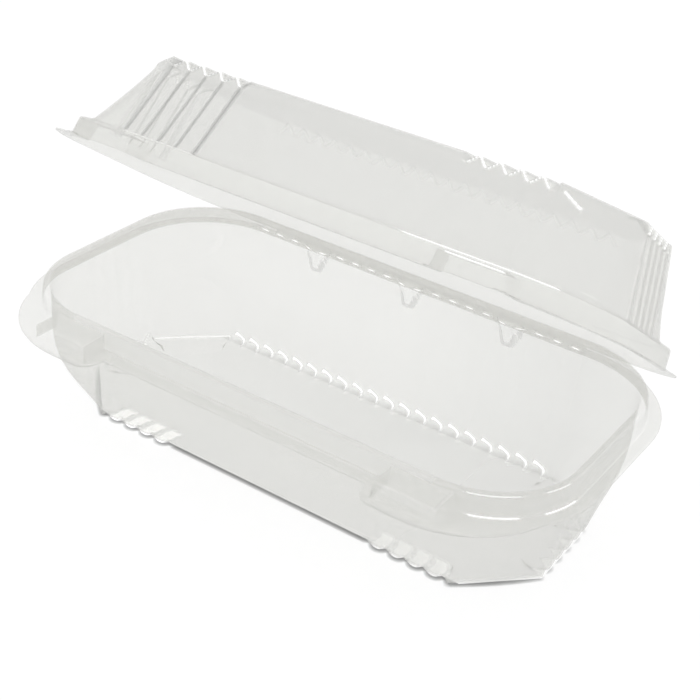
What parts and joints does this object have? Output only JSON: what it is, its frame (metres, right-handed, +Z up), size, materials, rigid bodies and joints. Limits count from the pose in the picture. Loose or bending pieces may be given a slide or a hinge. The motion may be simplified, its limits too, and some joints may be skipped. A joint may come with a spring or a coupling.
{
  "type": "clear plastic clamshell pack",
  "caption": "Long clear clamshell food pack: a fluted tray and a fluted lid formed in thin plastic, joined by a living hinge, with front locks and thumb tabs",
  "frame": {"origin": "middle of the tray's underside, which stands on the floor", "axes": "X along the pack, +Y to the hinge side, +Z up"},
  "size_m": [0.241, 0.1403, 0.1384],
  "materials": {
    "clear_plastic": "clear gloss sheet"
  },
  "bodies": {
    "tray": {"tray": "clear_plastic"},
    "lid": {"lid": "clear_plastic"}
  },
  "joints": [
    {"name": "lid_hinge", "type": "hinge", "parent": "tray", "child": "lid", "pos_m": [0, 0.06377, 0.04555], "axis": [-1, 0, 0], "range_deg": [-34, 146]}
  ]
}
